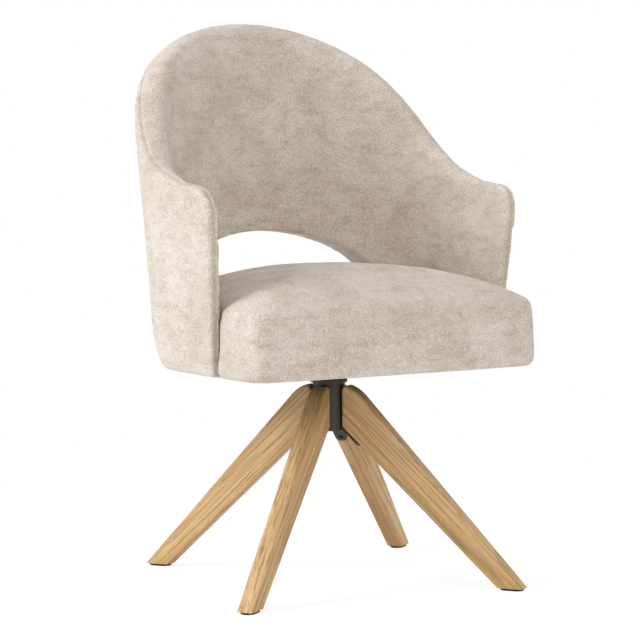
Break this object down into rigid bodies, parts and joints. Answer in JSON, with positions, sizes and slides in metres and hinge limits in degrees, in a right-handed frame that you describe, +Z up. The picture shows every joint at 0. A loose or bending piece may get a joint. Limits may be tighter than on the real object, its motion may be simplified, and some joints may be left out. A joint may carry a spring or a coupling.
{
  "type": "swivel dining chair",
  "caption": "Upholstered tub dining chair with an arched opening low in the back, turning on a round hub and splayed oak legs.",
  "frame": {"origin": "on the swivel axis, at the floor under the hub", "axes": "+Z up along the swivel axis, -Y the way the seat faces at rest, +X to the right seen from the front"},
  "size_m": [0.5702, 0.5352, 0.8697],
  "materials": {
    "oak": "satin",
    "bronze_paint": "satin",
    "glide_plastic": "matte",
    "bright_steel": "satin",
    "bearing_plastic": "matte",
    "black_plate": "satin",
    "plywood": "matte",
    "lining_cloth": "matte",
    "velvet": "matte"
  },
  "bodies": {
    "base": {"hub_column": "bronze_paint", "hub_end_cap": "bronze_paint", "upper_bush": "bearing_plastic", "lower_bush": "bearing_plastic", "thrust_washer": "bearing_plastic", "leg_front_right": "oak", "leg_rear_right": "oak", "leg_rear_left": "oak", "leg_front_left": "oak", "leg_bracket_front_right": "bronze_paint", "leg_bracket_rear_right": "bronze_paint", "leg_bracket_rear_left": "bronze_paint", "leg_bracket_front_left": "bronze_paint", "glide_front_right": "glide_plastic", "glide_rear_right": "glide_plastic", "glide_rear_left": "glide_plastic", "glide_front_left": "glide_plastic"},
    "seat": {"spindle": "bright_steel", "retaining_washer": "bright_steel", "circlip": "bright_steel", "seat_plate": "black_plate", "seat_bolts": "bright_steel", "dust_cover": "lining_cloth", "seat_board": "plywood", "seat_cushion": "velvet", "shell_core": "plywood", "shell_outer_pad": "velvet", "shell_inner_pad": "velvet"}
  },
  "joints": [
    {"name": "seat_swivel", "type": "hinge", "parent": "base", "child": "seat", "pos_m": [0, 0, 0.313], "axis": [0, 0, 1], "continuous": true}
  ]
}
